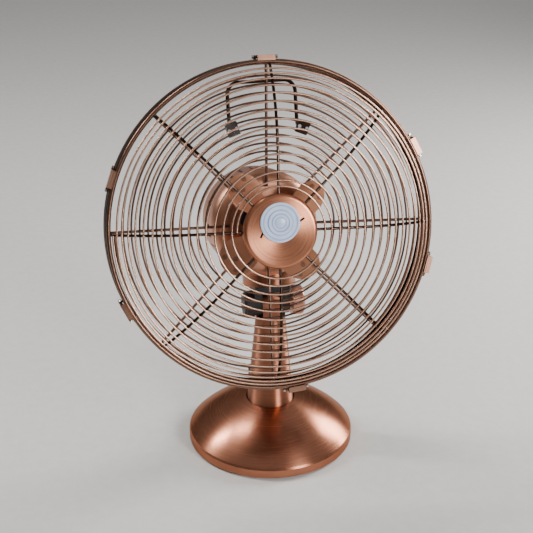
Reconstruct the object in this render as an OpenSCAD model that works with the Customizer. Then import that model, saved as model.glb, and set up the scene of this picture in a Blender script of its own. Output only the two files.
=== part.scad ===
// Desk fan on a domed base: spiral wire guards, a tilting neck and a head that swings on a pin.
// Millimetres, +Z up. The fan blows towards -Y. The origin is on the table under the column.

/* [Stand] */
// Diameter of the base
base_d = 192; // [184:1:210]
// Height of the base's upright edge
base_edge = 13; // [12.5:0.5:15]
// Height at which the column leaves the dome
dome_top = 53; // [50:0.5:58]
// Diameter of the column at its foot
foot_d = 53.6; // [48:0.2:58]
// Diameter of the column at its top
column_top_d = 34; // [33:0.5:38]
// Height of the column's top
column_top = 158; // [150:1:172]
// Thickness of the spun sheet
sheet = 1.6; // [1.2:0.1:2]

/* [Head] */
// Outer diameter of the rim band
guard_d = 340; // [330:1:360]
// Lean of the head in the rest pose, degrees
head_tilt = 17; // [8:0.5:22]
// Height of the motor axis above the tilt bolt
axis_rise = 99.5; // [98:0.5:108]
// Distance from the swing pin to the front of the rim band
reach = 119; // [114:0.5:124]
// Sideways offset of the motor axis from the swing pin
side_offset = 16; // [10:0.5:20]
// Depth of the rim band
band_depth = 29; // [26:0.5:33]
// Diameter of the motor shell
shell_d = 114; // [110:0.5:118]

/* [Guards] */
// How far the flat of the front spiral stands ahead of the band
front_rise = 36.5; // [33:0.5:42]
// Turns of the front spiral
front_turns = 16; // [14:1:18]
// Turns of the rear spiral
rear_turns = 11; // [9:1:12]
// Diameter of the spiral wire
wire_d = 2.1; // [1.8:0.1:2.4]
// Diameter of the ribs behind the spirals
rib_d = 3; // [2.6:0.1:3.4]
// Ribs in each guard
rib_count = 8; // [6:1:10]
// Diameter of the outer guard rings
ring_d = 4.4; // [4:0.1:4.8]
// Diameter of the centre plate
plate_d = 75.4; // [70:0.2:80]
// Diameter of the badge on the plate
badge_d = 39.8; // [34:0.2:42]

/* [Rotor] */
// Diameter over the blade tips
blade_tip_d = 276; // [250:1:284]
// Number of blades
blade_count = 4; // [3:1:5]
// Pitch at the middle of a blade, degrees
blade_pitch = 24; // [18:1:27]
// Width of a blade at its widest
blade_w = 82; // [70:1:86]
// Angle of the first blade in the rest pose
blade_rest = 36; // [0:1:90]

/* [Clearances] */
// Radial play of a pin that turns in its hole
fit = 0.05; // [0.03:0.01:0.08]
// Gap between parts that sit on each other
seat = 0.08; // [0.05:0.01:0.12]
// Gap between faces that move past each other
run = 0.4; // [0.35:0.05:0.6]

/* [Hidden] */
$fn = 96;
base_r = base_d/2;
foot_r = foot_d/2;
top_r = column_top_d/2;
guard_r = guard_d/2;
shell_r = shell_d/2;
wire_r = wire_d/2;
rib_r = rib_d/2;
ring_r = ring_d/2;
plate_r = plate_d/2;

// base dome: a spherical cap through the edge and the column's foot
dome_c = (foot_r*foot_r + dome_top*dome_top - base_r*base_r - base_edge*base_edge)
         /(2*(dome_top - base_edge));
dome_r = sqrt(base_r*base_r + pow(base_edge - dome_c, 2));
function dome_z(r) = dome_c + sqrt(dome_r*dome_r - r*r);
shell_z = 2.6;
lip_t = 1.2;
lip_r = base_r - 5;
bevel = 1.2;
plate_z = shell_z + lip_t + seat;
plate_t = 3;
ballast_z = plate_z + plate_t + seat;
ballast_r = 68;
ballast_top = 17.6;
foot_gap = 1.4;
screw_ring = 60;
tie_r = 6;

// speed knob: on the rear of the dome, square to its surface
knob_at = 64;
knob_lean = asin(knob_at/dome_r);
knob_h = dome_z(knob_at);
seat_face = 0.8;
spindle_r = 3;
gland_z = 8.4;
gland_bore = 2.4;

// neck
pivot_z = column_top + 18;
lug_w = 22;
lug_r = 13;
cheek_r = 14;
bolt_r = 4;
fork_in = lug_w/2 + run;
fork_out = 20;
fork_low = 13.6;
fork_deep = 17;
fork_top = 31;
pin_r = 7;
bush_t = 2;
washer_t = 2;
cup_hub = fork_top + washer_t + 2*seat + run;
cup_top = 41.4;
cup_r = 30;
cup_low = 22;

// motor, measured along its axis from the front of the band, forwards positive
shell_front = -30;
shell_back = -95;
shell_round = 16;
bracket_w = shell_front - 6.2;
bracket_r = shell_r - 5.8;
stator_front = -53;
stator_back = -79;
coil_r = 6.2;
stator_r = shell_r - 5;
bolt_ring = shell_r - 8.4;
core_r = 26.4;
shaft_r = 4;
nose_r = 20;
gear_r = 32;
gear_back = -136;
stem_r = 2.4;
stem_up = 24;
stem_in = 118;
knob_back = 145.6;
cover_arc = 45;
cover_flat = 100;

// front guard: flat in the middle, then an arc down to the outer ring
front_flat = 0.47*guard_r;
front_edge = guard_r - 5;
front_drop = front_rise - 6.5;
front_arc = (pow(front_edge - front_flat, 2) + front_drop*front_drop)/(2*front_drop);
function front_w(r) = r <= front_flat ? front_rise
    : front_rise - front_arc + sqrt(front_arc*front_arc - pow(r - front_flat, 2));
spiral_in = plate_r + 5.8;
first_pitch = 5.1;
spiral_first = spiral_in + first_pitch;
spiral_last = guard_r - 6.85;
// the pitch is even over the flat and closes up towards the rim
even_part = 0.64;
even_rate = 1.126;
function ease(s) = even_rate*s - (s > even_part
    ? (even_rate - 1)*pow((s - even_part)/(1 - even_part), 2) : 0);
function front_r(n) = n < 1 ? spiral_first - first_pitch*(1 - n)
    : spiral_first + (spiral_last - spiral_first)*ease((n - 1)/(front_turns - 1));
// the ribs sit just behind the wire, and a bead closes each joint of two bends
rib_gap = 0.2;
bead = 0.14;
trim = 0.3;
rib_step = wire_r + rib_r + rib_gap;
rib_arc = front_arc - rib_step;
rib_sweep = asin((guard_r - 3.8 - front_flat)/rib_arc);
rib_turn = -2.2;
front_ring_r = guard_r - 2.8;
front_ring_w = ring_r + seat;

// rear guard: a shallow cone behind the rotor
rear_in = 66;
rear_out = guard_r - 10;
rear_hub_w = -22;
rear_rim_w = -13;
rear_slope = (rear_rim_w - rear_hub_w)/(rear_out - rear_in);
function rear_w(r) = rear_hub_w + rear_slope*(r - rear_in);
function rear_r(n) = rear_in + (rear_out - rear_in)*n/rear_turns;
band_t = 1.2;
rear_ring_r = guard_r - band_t - ring_r - seat;
rear_ring_w = rear_w(rear_ring_r) - rib_step + rib_r*0.4;
hub_plate_r = 40;
hub_plate_w = rear_w(hub_plate_r) - rib_step + rib_r + seat;
hub_plate_t = 1.6;
rib_root = 34;

// centre plate, badge
plate_back_w = front_rise - rib_step + rib_r + seat;
plate_h = 5.6;
badge_up = 9.2;
badge_left = 0.5;
slot_from_badge = 22.4;

// rim clips
clip_angles = [89, 25, 342, 275, 205, 159];
clip_len = 18;
clip_pin_r = 0.9;
clip_barrel = 1.7;
clip_t = 1.2;
clip_pin_out = guard_r + clip_barrel + run;
clip_pin_w = -4;
clip_lip_w = front_ring_w + ring_r + run;
clip_lip_in = front_ring_r + 1;
ear_t = 2;
pin_head_r = 1.7;
pin_head_t = 2;

// rotor: the arms and the blades follow one curved sheet, a cylinder set askew, so the pitch falls outwards
rotor_mid = 1;
hub_r = 20;
hub_back = -9;
hub_front = 20;
arm_t = 1.4;
arm_w = 40;
arm_tip = 66;
blade_t = 1.8;
blade_camber = 120;
blade_skew = 14;
blade_root = 42;
blade_mid = blade_tip_d/2 - blade_w/2;
rivet_r = 1.5;
rivet_at = [[50, 0], [57, -9], [57, 9]];
// a point of the blade's plan, as a distance along the sheet's axis and an angle around it
function sheet_x(p) = (p[0] - blade_mid)*cos(blade_skew) + p[1]*sin(blade_skew);
function sheet_a(p) = asin((p[1]*cos(blade_skew) - (p[0] - blade_mid)*sin(blade_skew))/blade_camber);

// carry handle: a bent rod welded to two feet that clamp the rear spiral
rod_r = 2;
handle_u = 5;
handle_half = 36;
handle_drop = 22;
handle_tall = 50;
handle_high = guard_r - handle_drop;
handle_low = handle_high - handle_tall;
handle_off = -42;
corner_r = 12;
elbow_r = 10;
foot_t = 1.6;
foot_len = 13.6;
foot_w = 12.4;
foot_screw = 4.1;
rear_pitch = (rear_out - rear_in)/rear_turns;
foot_at = [[handle_u + handle_half, handle_low], [handle_u - handle_half, handle_low]];
function foot_angle(p) = atan2(p[1], p[0]);
// the middle of the gap between two turns that is nearest to a point
function gap_r(p) = let (f = (180 - foot_angle(p) + rib_turn)/360 + 0.5)
    rear_in + rear_pitch*(round((norm(p) - rear_in)/rear_pitch - f) + f);

// a frame at the tilt bolt, leaning with the head
module tilt_frame() translate([0, 0, pivot_z]) rotate([-head_tilt, 0, 0]) children();

// a frame on the motor axis: x to the viewer's right, y up, z forwards
module axis_frame() tilt_frame() translate([-side_offset, -reach, axis_rise])
    rotate([90, 0, 0]) children();

module knob_frame() translate([0, knob_at, knob_h]) rotate([-knob_lean, 0, 0]) children();

// a frame on the stem of the swing knob, which points backwards above the motor axis
module stem_frame() axis_frame() translate([0, stem_up, 0]) rotate([180, 0, 0]) children();

module along_x() rotate([0, 90, 0]) children();

module ring(r_out, r_in, z0, z1) translate([0, 0, z0]) difference() {
    cylinder(r = r_out, h = z1 - z0);
    translate([0, 0, -1]) cylinder(r = r_in, h = z1 - z0 + 2);
}

module disc(r, z0, z1) translate([0, 0, z0]) cylinder(r = r, h = z1 - z0);

module base_shell() color("#a4643f") difference() {
    union() {
        rotate_extrude() difference() {
            intersection() {
                translate([0, dome_c]) circle(r = dome_r);
                polygon([[0, shell_z], [base_r, shell_z], [base_r, base_edge - bevel],
                         [base_r - bevel, dome_z(base_r - bevel)],
                         [base_r - bevel, dome_top + 20], [0, dome_top + 20]]);
            }
            intersection() {
                translate([0, dome_c]) circle(r = dome_r - sheet);
                translate([0, shell_z + lip_t]) square([base_r - sheet, 100]);
            }
            translate([0, -1]) square([lip_r, shell_z + lip_t + 1.01]);
            square([foot_r + foot_gap, 100]);
        }
        knob_frame() disc(20, -3, seat_face);
    }
    knob_frame() disc(5.2, -10, 10);
    translate([0, base_r - 8, gland_z]) rotate([-90, 0, 0]) cylinder(r = gland_bore + 0.7, h = 20);
}

module base_plate() color("#55585c") difference() {
    disc(base_r - sheet - 0.3, plate_z, plate_z + plate_t);
    disc(14, 0, 20);
    translate([-gland_bore - 2.2, base_r - 12, 0]) cube([2*gland_bore + 4.4, 20, 20]);
    for (a = [45:90:315]) rotate([0, 0, a]) translate([screw_ring, 0, 0]) {
        disc(2.3, 0, 20);
        translate([0, 0, plate_z - 0.01]) cylinder(r1 = 4.7, r2 = 2.3, h = 2.4);
    }
}

module base_ballast() color("#3c3e40") difference() {
    disc(ballast_r, ballast_z, ballast_top);
    disc(tie_r + 0.2, 0, 40);
    disc(13, 0, ballast_z + 7.4);
    for (a = [45:90:315]) rotate([0, 0, a]) translate([screw_ring, 0, 0]) disc(2.25, 0, 16);
}

module base_pad() color("#1c1c1c") disc(lip_r - 0.3, 0, shell_z + lip_t);

module base_screws() color("#8d9095") for (a = [45:90:315]) rotate([0, 0, a]) translate([screw_ring, 0, 0]) {
    translate([0, 0, plate_z + 0.1]) cylinder(r1 = 4.5, r2 = 2.2, h = 2.3);
    disc(2.2, plate_z + 0.1, 15);
}

module column_tube() color("#b06c48") rotate_extrude() difference() {
    polygon([[foot_r - sheet, ballast_top + seat], [foot_r, ballast_top + seat], [foot_r, dome_top],
             [top_r, column_top], [top_r - sheet, column_top], [foot_r - sheet, dome_top]]);
}

module tilt_lug() color("#8c5436") difference() {
    union() {
        disc(top_r, column_top + seat, column_top + 3);
        disc(top_r - sheet - 0.6, column_top - 18, column_top + 1);
        translate([-lug_w/2, -lug_r, column_top + 1]) cube([lug_w, 2*lug_r, pivot_z - column_top - 1]);
        translate([-lug_w/2, 0, pivot_z]) along_x() cylinder(r = lug_r, h = lug_w);
    }
    translate([-lug_w, 0, pivot_z]) along_x() cylinder(r = bolt_r + fit, h = 2*lug_w);
    disc(tie_r + fit, column_top - 40, column_top - 4);
}

module tie_tube() color("#9a9da1") ring(tie_r, tie_r - 1.5, ballast_z + 1, column_top - 4.2);

module tie_nut() color("#84888c") difference() {
    translate([0, 0, ballast_z + 1]) cylinder(r = 10.5, h = 6.3, $fn = 6);
    disc(tie_r + fit, 0, 40);
}

module speed_switch() color("#2a2a2c") knob_frame() difference() {
    union() {
        translate([-12, -12, -14.6]) cube([24, 24, 11.5]);
        disc(5, -4, 4);
    }
    disc(spindle_r + fit, -9, 10);
}

module switch_spindle() color("#a9adb2") knob_frame() disc(spindle_r, -8.8, 14.9);

module dial_disc() color("#c9ccd0") knob_frame() difference() {
    ring(18.5, 5.2, seat_face + seat, seat_face + 1);
    for (i = [0:3]) rotate([0, 0, 40*i]) translate([15.6, 0, 0]) disc(0.6 + 0.25*i, 0, 5);
}

module speed_knob() color("#1d1d1f") knob_frame() difference() {
    rotate_extrude() difference() {
        polygon([[0, 5], [13, 5], [12.2, 18], [0, 18]]);
        translate([0, 21.2]) circle(r = 5);
    }
    disc(spindle_r + fit, 4, 15);
    for (a = [0:30:330]) rotate([0, 0, a + 15]) translate([13.6, 0, 0]) disc(1.6, 8, 30);
    translate([5, -0.6, 17.3]) cube([12, 1.2, 2]);
}

module cord_gland() color("#161616") translate([0, 0, gland_z]) rotate([-90, 0, 0]) difference() {
    union() {
        disc(gland_bore + 0.65, base_r - 7, base_r + 1);
        disc(gland_bore + 1.5, base_r + 0.2, base_r + 1.8);
        disc(gland_bore + 1.5, base_r - 5, base_r - sheet - 0.2);
    }
    disc(gland_bore, base_r - 20, base_r + 20);
}

// tilting neck
module fork_cheek(x0, x1) translate([x0, 0, 0]) along_x() cylinder(r = cheek_r, h = x1 - x0);

module neck_fork() color("#18181a") tilt_frame() difference() {
    union() {
        for (s = [0, 1]) mirror([s, 0, 0]) {
            fork_cheek(fork_in, fork_out);
            translate([fork_in, -cheek_r, 0]) cube([fork_out - fork_in, 2*cheek_r, fork_low + 1]);
        }
        translate([-fork_out, -fork_deep, fork_low]) cube([2*fork_out, 2*fork_deep, fork_top - fork_low]);
    }
    translate([-50, 0, 0]) along_x() cylinder(r = bolt_r + fit, h = 100);
    disc(pin_r + bush_t + fit, 0, 60);
}

module swing_bush() color("#a8792f") tilt_frame()
    ring(pin_r + bush_t, pin_r + fit, fork_low, fork_top - 0.1);

module swing_washer() color("#dedbd2") tilt_frame()
    ring(14, pin_r + 0.3, fork_top + seat, fork_top + seat + washer_t);

module tilt_bolt() color("#8d9095") tilt_frame() union() {
    translate([-fork_out - seat, 0, 0]) along_x() cylinder(r = bolt_r, h = fork_out + 31);
    translate([-fork_out - 6, 0, 0]) along_x() cylinder(r = 7.4, h = 6 - seat, $fn = 6);
}

module tilt_cap() color("#18181a") tilt_frame() translate([-fork_out - seat, 0, 0]) rotate([0, -90, 0])
    difference() {
        rotate_extrude() difference() {
            square([15, 11.4]);
            translate([15, 11.4]) circle(r = 2.5);
        }
        disc(7.8, -1, 6.4);
    }

module tilt_knob() color("#a4643f") tilt_frame() translate([fork_out + run, 0, 0]) along_x() difference() {
    rotate_extrude() union() {
        square([9, 4]);
        translate([0, 3]) square([17, 10]);
        translate([0, 12]) square([13, 5]);
        translate([13, 13]) circle(r = 4);
    }
    disc(bolt_r + fit, -1, 10.9);
}

// swinging head, underside
module swing_pin() color("#9a9da1") tilt_frame() disc(pin_r, fork_low + 0.6, 74);

module neck_cup() color("#a4643f") tilt_frame() rotate_extrude() difference() {
    union() {
        translate([pin_r + fit, cup_hub]) square([15 - pin_r - fit, cup_top - cup_hub]);
        translate([pin_r + fit, cup_top - 1.8]) square([cup_r - pin_r - fit, 1.8]);
        translate([cup_r - 1.8, cup_low]) square([1.8, cup_top - cup_low]);
    }
    difference() {
        translate([cup_r - 5, cup_top - 5]) square([6, 6]);
        translate([cup_r - 5, cup_top - 5]) circle(r = 5);
    }
}

module gear_case() color("#6f7276") difference() {
    union() {
        axis_frame() disc(gear_r, gear_back, shell_back - 5 - seat);
        tilt_frame() disc(15, cup_top + seat, axis_rise - 12);
    }
    tilt_frame() disc(pin_r + fit, 0, 74.2);
    axis_frame() disc(shaft_r + 1, gear_back + 14, shell_back + 20);
    axis_frame() disc(3.05, gear_back - 1, gear_back + 12);
    stem_frame() disc(stem_r + fit, stem_in, 150);
}

module front_bracket() color("#a9adb2") axis_frame() difference() {
    union() {
        disc(bracket_r, bracket_w - 4, bracket_w);
        disc(nose_r, bracket_w - 3, hub_plate_w + 6);
        disc(nose_r + 6, bracket_w - 3, hub_plate_w - seat);
        ring(stator_r, 45.5, stator_front + seat, bracket_w - 3);
    }
    disc(7 + fit, bracket_w - 0.4, 20);
    disc(shaft_r + 1, -60, 20);
    for (a = [45:90:315]) rotate([0, 0, a]) translate([bolt_ring, 0, 0]) disc(2.1, -60, 20);
}

module rear_bracket() color("#a9adb2") axis_frame() difference() {
    union() {
        disc(shell_r - sheet - 0.15, shell_back - 5, shell_back + 3);
        ring(stator_r, 45.5, shell_back + 2, stator_back - seat);
    }
    disc(7 + fit, shell_back - 6, shell_back + 10);
    for (a = [45:90:315]) rotate([0, 0, a]) translate([bolt_ring, 0, 0]) disc(2.1, -120, 0);
}

module stator() color("#707479") axis_frame() difference() {
    ring(stator_r, core_r + 0.5, stator_back, stator_front);
    for (a = [45:90:315]) rotate([0, 0, a]) translate([bolt_ring, 0, 0]) disc(2.1, -120, 0);
    for (a = [0:22.5:337.5]) rotate([0, 0, a + 11.25])
        translate([core_r - 2, -2.2, stator_back - 1]) cube([16, 4.4, stator_front - stator_back + 2]);
}

module windings() color("#b5602a") axis_frame()
    for (w = [stator_front + coil_r + seat, stator_back - coil_r - seat])
        translate([0, 0, w]) rotate_extrude() translate([37, 0]) circle(r = coil_r);

module bearings() color("#a8792f") axis_frame() {
    ring(7, shaft_r + fit, bracket_w - 0.3, hub_plate_w + 5.5);
    ring(7, shaft_r + fit, shell_back - 5, shell_back + 3);
}

module motor_bolts() color("#8d9095") axis_frame() for (a = [45:90:315]) rotate([0, 0, a])
    translate([bolt_ring, 0, 0]) {
        disc(2, shell_back - 8, bracket_w - 0.1);
        disc(3.6, shell_back - 8.5, shell_back - 5 - seat);
    }

module motor_shell() color("#a4643f") axis_frame() difference() {
    rotate_extrude() difference() {
        union() {
            translate([0, shell_back]) square([shell_r, shell_front - shell_round - shell_back]);
            translate([0, shell_front - shell_round - 1]) square([shell_r - shell_round, shell_round + 1]);
            translate([shell_r - shell_round, shell_front - shell_round]) circle(r = shell_round);
        }
        translate([0, shell_back - 1]) square([shell_r - sheet, shell_front - shell_round - shell_back + 1]);
        translate([0, shell_front - shell_round - 1])
            square([shell_r - shell_round, shell_round + 1 - sheet]);
        intersection() {
            translate([shell_r - shell_round, shell_front - shell_round]) circle(r = shell_round - sheet);
            translate([0, shell_front - shell_round - 0.01]) square([shell_r, shell_round + 1]);
        }
        translate([0, shell_front - 20]) square([nose_r + 16, 40]);
    }
    for (a = [0:12:348]) rotate([0, 0, a]) translate([shell_r - 4, -1.4, shell_back + 12]) cube([8, 2.8, 26]);
}

module rear_cover() color("#a4643f") difference() {
    axis_frame() difference() {
        rotate_extrude() difference() {
            union() {
                translate([0, -cover_flat]) square([shell_r, cover_flat + shell_back - seat]);
                intersection() {
                    translate([shell_r - cover_arc, -cover_flat]) circle(r = cover_arc);
                    translate([0, -cover_flat - cover_arc]) square([shell_r, cover_arc + 0.01]);
                }
                translate([0, -cover_flat - cover_arc]) square([shell_r - cover_arc, cover_arc + 0.01]);
            }
            translate([0, -cover_flat]) square([shell_r - sheet, 60]);
            intersection() {
                translate([shell_r - cover_arc, -cover_flat]) circle(r = cover_arc - sheet);
                translate([0, -cover_flat - cover_arc]) square([shell_r, cover_arc + 0.01]);
            }
            translate([0, -cover_flat - cover_arc + sheet])
                square([shell_r - cover_arc, cover_arc - sheet + 0.01]);
        }
        for (a = [120:15:420]) rotate([0, 0, a]) translate([20, -1.3, -cover_flat - cover_arc - 1])
            cube([16, 2.6, 20]);
        disc(3.3, -200, -120);
    }
    tilt_frame() disc(15 + 0.5, cup_top, 80);
    stem_frame() disc(stem_r + 0.8, stem_in, 160);
}

module cover_screw() color("#8d9095") axis_frame() difference() {
    union() {
        disc(3, -cover_flat - cover_arc - 1, gear_back + 11);
        rotate_extrude() intersection() {
            translate([0, -cover_flat - cover_arc + 4]) circle(r = 8);
            translate([0, -cover_flat - cover_arc - 8]) square([6.5, 8 - seat]);
        }
    }
    // cross recess for a driver
    for (a = [0, 90]) rotate([0, 0, a])
        translate([-2.8, -0.6, -cover_flat - cover_arc - 5]) cube([5.6, 1.2, 2.6]);
}

module swing_knob() color("#18181a") stem_frame() translate([0, 0, knob_back]) difference() {
    rotate_extrude() difference() {
        union() {
            translate([0, 1]) square([8, 15]);
            translate([0, 12]) square([9.5, 5]);
        }
        translate([11.5, 7.5]) circle(r = 4.6);
    }
    disc(stem_r + fit, 0, 10);
}

module knob_stem() color("#9a9da1") stem_frame() disc(stem_r, stem_in + 1.2, knob_back + 9.8);

// wire guards
// half a turn of wire from the left radius to the right one, leaning with the guard's profile
module half_turn(rl, wl, rr, wr, lower) let (r = norm([rl + rr, wr - wl])/2, cut = trim/r*180/PI)
    translate([(rr - rl)/2, 0, (wl + wr)/2]) rotate([0, -atan2(wr - wl, rl + rr), 0])
        rotate([0, 0, (lower ? 180 : 0) + cut]) rotate_extrude(angle = 180 - 2*cut)
            translate([r, 0]) circle(r = wire_r);

// the poles of a bead lie inside the wire that runs along y
module wire_bead(r) rotate([90, 0, 0]) sphere(r = r + bead);

module front_spiral() rotate([0, 0, rib_turn]) {
    for (k = [0:2*front_turns - 1]) let (r0 = front_r(k/2), r1 = front_r((k + 1)/2))
        if (k % 2 == 0) half_turn(r0, front_w(r0), r1, front_w(r1), false);
        else half_turn(r1, front_w(r1), r0, front_w(r0), true);
    for (k = [1:2*front_turns - 1]) let (r = front_r(k/2))
        translate([k % 2 == 0 ? -r : r, 0, front_w(r)]) wire_bead(wire_r);
}

module rear_spiral() rotate([0, 0, rib_turn]) {
    for (k = [0:2*rear_turns - 1]) let (r0 = rear_r(k/2), r1 = rear_r((k + 1)/2))
        if (k % 2 == 0) half_turn(r0, rear_w(r0), r1, rear_w(r1), false);
        else half_turn(r1, rear_w(r1), r0, rear_w(r0), true);
    for (k = [1:2*rear_turns - 1]) let (r = rear_r(k/2))
        translate([k % 2 == 0 ? -r : r, 0, rear_w(r)]) wire_bead(wire_r);
}

module front_rib() let (cut = trim/rib_arc*180/PI) {
    translate([27, 0, front_rise - rib_step]) along_x() cylinder(r = rib_r, h = front_flat - trim - 27);
    translate([front_flat, 0, front_rise - rib_step]) rotate([0, 0, 90]) wire_bead(rib_r);
    translate([front_flat, 0, front_rise - front_arc]) rotate([90, 0, 0]) rotate([0, 0, 90 - rib_sweep])
        rotate_extrude(angle = rib_sweep - cut) translate([rib_arc, 0]) circle(r = rib_r);
}

module rear_rib() let (r0 = rib_root, r1 = rear_ring_r - 0.6)
    translate([r0, 0, rear_w(r0) - rib_step]) rotate([0, 90 - atan(rear_slope), 0])
        cylinder(r = rib_r, h = (r1 - r0)/cos(atan(rear_slope)));

module front_guard() color("#b98a6c") axis_frame() union() {
    front_spiral();
    for (i = [0:rib_count - 1]) rotate([0, 0, 360/rib_count*i + rib_turn]) front_rib();
    translate([0, 0, front_ring_w]) rotate_extrude() translate([front_ring_r, 0]) circle(r = ring_r);
}

module rear_guard() color("#6d4a36") axis_frame() union() {
    rear_spiral();
    for (i = [0:rib_count - 1]) rotate([0, 0, 360/rib_count*i + rib_turn]) rear_rib();
    translate([0, 0, rear_ring_w]) rotate_extrude() translate([rear_ring_r, 0]) circle(r = ring_r);
}

module guard_plate() color("#a4643f") axis_frame()
    ring(hub_plate_r, nose_r + 0.1, hub_plate_w, hub_plate_w + hub_plate_t);

module guard_nut() color("#1c1c1e") axis_frame() difference() {
    ring(30, nose_r + fit, hub_plate_w + hub_plate_t + seat, hub_plate_w + 6);
    for (a = [0:45:315]) rotate([0, 0, a]) translate([31, 0, 0]) disc(4, -60, 20);
}

module rim_band() color("#5c4033") axis_frame() difference() {
    union() {
        rotate_extrude() difference() {
            translate([guard_r - 5.4, -band_depth]) square([5.4, band_depth]);
            translate([guard_r - 10, -band_depth + band_t]) square([10 - band_t, band_depth - 2*band_t]);
        }
        for (a = clip_angles) rotate([0, 0, a]) for (s = [-1, 1])
            translate([0, s*(clip_len/2 + run + ear_t/2), 0]) {
                translate([clip_pin_out, ear_t/2, clip_pin_w]) rotate([90, 0, 0])
                    cylinder(r = clip_barrel, h = ear_t);
                translate([guard_r - 0.8, -ear_t/2, clip_pin_w - clip_barrel])
                    cube([clip_pin_out - guard_r + 0.8, ear_t, 2*clip_barrel]);
            }
    }
    for (a = clip_angles) rotate([0, 0, a]) translate([clip_pin_out, 40, clip_pin_w])
        rotate([90, 0, 0]) cylinder(r = clip_pin_r + fit, h = 80);
}

module clip_pins() color("#d8d3cc") axis_frame() for (a = clip_angles) rotate([0, 0, a])
    translate([clip_pin_out, 0, clip_pin_w]) rotate([90, 0, 0]) {
        cylinder(r = clip_pin_r, h = clip_len + 2*(run + ear_t + seat + 0.5), center = true);
        for (s = [-1, 1]) translate([0, 0, s*(clip_len/2 + run + ear_t + seat + pin_head_t/2)])
            cylinder(r = pin_head_r, h = pin_head_t, center = true);
    }

module rim_clip(i) color("#b98a6c") axis_frame() rotate([0, 0, clip_angles[i]]) rotate([90, 0, 0])
    linear_extrude(height = clip_len, center = true) difference() {
        union() {
            translate([clip_pin_out, clip_pin_w]) circle(r = clip_barrel);
            translate([clip_pin_out + clip_barrel - clip_t, clip_pin_w])
                square([clip_t, clip_lip_w + clip_t - clip_pin_w]);
            translate([clip_lip_in, clip_lip_w]) square([clip_pin_out + clip_barrel - clip_lip_in, clip_t]);
        }
        translate([clip_pin_out, clip_pin_w]) circle(r = clip_pin_r + fit);
    }

module clip_1() rim_clip(0);
module clip_2() rim_clip(1);
module clip_3() rim_clip(2);
module clip_4() rim_clip(3);
module clip_5() rim_clip(4);
module clip_6() rim_clip(5);

// centre plate with its badge
module centre_plate() color("#b5754e") axis_frame() translate([0, 0, plate_back_w]) difference() {
    rotate_extrude() difference() {
        union() {
            square([plate_r, plate_h - 4]);
            square([plate_r - 4, plate_h]);
            translate([plate_r - 4, plate_h - 4]) circle(r = 4);
        }
        translate([0, -6]) square([plate_r + 9, 6]);
        translate([0, -1]) square([plate_r - 4, plate_h - 0.4]);
    }
    for (a = [3, 211]) translate([-badge_left, badge_up, 0]) rotate([0, 0, a])
        translate([slot_from_badge, 0, 0]) rotate([0, 0, 30]) translate([-2.6, -1.1, 0]) cube([5.2, 2.2, 20]);
    disc(2.2, 0, 20);
}

module badge() color("#e6e9ee") axis_frame()
    translate([-badge_left, badge_up, plate_back_w + plate_h + seat]) rotate_extrude() union() {
        difference() {
            square([badge_d/2, 1.6]);
            translate([badge_d/2, 2.5]) circle(r = 1.3);
            translate([badge_d/2 - 2.8, 2]) circle(r = 0.8);
        }
        difference() {
            square([badge_d/2 - 7.4, 2.5]);
            translate([badge_d/2 - 7.4, 2.8]) circle(r = 0.7);
            translate([badge_d/2 - 11.2, 2.8]) circle(r = 0.9);
        }
        intersection() {
            translate([0, 3.2 - 20]) circle(r = 20);
            square([badge_d/2 - 14.4, 10]);
        }
    }

module plate_back() color("#8d9095") axis_frame()
    translate([0, 0, front_rise - rib_step - rib_r - seat - 1.4]) difference() {
        disc(32, 0, 1.4);
        disc(2.2, -1, 4);
    }

module plate_screw() color("#8d9095") axis_frame() {
    disc(2, front_rise - rib_step - rib_r - 2, plate_back_w + plate_h - 0.1);
    disc(3.8, front_rise - rib_step - rib_r - 3.6, front_rise - rib_step - rib_r - 1.4 - 2*seat);
}

// carry handle on the rear guard
module handle_side() {
    translate([handle_half, handle_low, handle_off + elbow_r])
        cylinder(r = rod_r, h = rear_w(norm(foot_at[0])) - wire_r - seat - foot_t/2 - handle_off - elbow_r);
    translate([handle_half, handle_low + elbow_r, handle_off + elbow_r]) rotate([0, -90, 0])
        rotate([0, 0, 180]) rotate_extrude(angle = 90) translate([elbow_r, 0]) circle(r = rod_r);
    translate([handle_half, handle_low + elbow_r, handle_off]) rotate([-90, 0, 0])
        cylinder(r = rod_r, h = handle_high - corner_r - handle_low - elbow_r);
    translate([handle_half - corner_r, handle_high - corner_r, handle_off])
        rotate_extrude(angle = 90) translate([corner_r, 0]) circle(r = rod_r);
}

// a frame on the cone of the rear spiral, beside a foot: x outwards, z along the cone's normal
module foot_frame(p) rotate([0, 0, foot_angle(p)]) translate([gap_r(p), 0, rear_w(gap_r(p))])
    rotate([0, -atan(rear_slope), 0]) children();

module foot_plate(z0) translate([-foot_len/2, -foot_w/2, z0]) cube([foot_len, foot_w, foot_t]);

module foot_holes(p) foot_frame(p) for (s = [-1, 1])
    translate([0, s*foot_screw, 0]) disc(1.3, -9, 9);

module carry_handle() color("#2a1c16") axis_frame() difference() {
    union() {
        translate([handle_u, 0, 0]) {
            for (s = [0, 1]) mirror([s, 0, 0]) handle_side();
            translate([-handle_half + corner_r, handle_high, handle_off]) along_x()
                cylinder(r = rod_r, h = 2*(handle_half - corner_r));
        }
        for (p = foot_at) foot_frame(p) foot_plate(-wire_r - seat - foot_t);
    }
    for (p = foot_at) foot_holes(p);
}

module handle_clamps() color("#2a1c16") axis_frame() for (p = foot_at) difference() {
    foot_frame(p) foot_plate(wire_r + seat);
    foot_holes(p);
}

module handle_screws() color("#8d9095") axis_frame() for (p = foot_at) foot_frame(p) for (s = [-1, 1])
    translate([0, s*foot_screw, 0]) {
        disc(1.2, -wire_r - foot_t - 1.2, wire_r + foot_t + 0.3);
        disc(1.8, -wire_r - foot_t - 2.4, -wire_r - foot_t - 2*seat);
        disc(1.8, wire_r + foot_t + 2*seat, wire_r + foot_t + 1.4);
    }

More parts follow.
